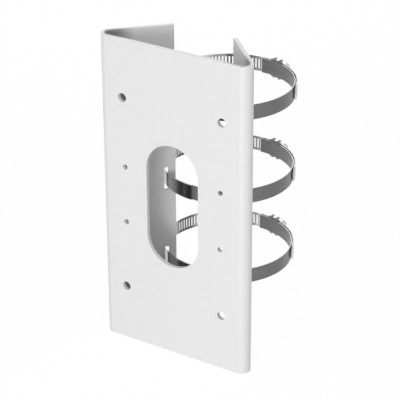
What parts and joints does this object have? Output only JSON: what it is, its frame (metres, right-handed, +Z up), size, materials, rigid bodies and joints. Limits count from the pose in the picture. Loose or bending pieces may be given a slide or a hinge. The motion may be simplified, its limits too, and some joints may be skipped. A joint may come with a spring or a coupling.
{
  "type": "camera pole mount bracket",
  "caption": "White folded sheet-metal plate with an oval cable opening and inward flanges, held to a pole by worm-drive band clamps, for mounting a security camera.",
  "frame": {"origin": "centre of the plate's front face, in the middle of the outer bolt pattern", "axes": "+X to the right along the plate seen from the camera side, +Y back towards the pole, +Z up along the plate and the pole"},
  "size_m": [0.127, 0.139, 0.25],
  "materials": {
    "white_coat": "satin powder coat",
    "stainless_strip": "brushed lengthwise",
    "pressed_steel": "satin",
    "plated_screw": "bright plated"
  },
  "bodies": {
    "bracket": {"bracket_plate": "white_coat", "upper_plain_strap": "stainless_strip", "upper_slotted_strap": "stainless_strip", "upper_saddle": "pressed_steel", "upper_housing": "pressed_steel", "middle_plain_strap": "stainless_strip", "middle_slotted_strap": "stainless_strip", "middle_saddle": "pressed_steel", "middle_housing": "pressed_steel", "lower_plain_strap": "stainless_strip", "lower_slotted_strap": "stainless_strip", "lower_saddle": "pressed_steel", "lower_housing": "pressed_steel"},
    "upper_worm": {"upper_worm_screw": "plated_screw"},
    "middle_worm": {"middle_worm_screw": "plated_screw"},
    "lower_worm": {"lower_worm_screw": "plated_screw"}
  },
  "joints": [
    {"name": "upper_screw_turn", "type": "hinge", "parent": "bracket", "child": "upper_worm", "pos_m": [0.01426, 0.13289, 0.0684], "axis": [-0.9659, 0.2588, 0], "continuous": true},
    {"name": "middle_screw_turn", "type": "hinge", "parent": "bracket", "child": "middle_worm", "pos_m": [0.01426, 0.13289, 0], "axis": [-0.9659, 0.2588, 0], "continuous": true},
    {"name": "lower_screw_turn", "type": "hinge", "parent": "bracket", "child": "lower_worm", "pos_m": [0.01426, 0.13289, -0.0684], "axis": [-0.9659, 0.2588, 0], "continuous": true}
  ]
}
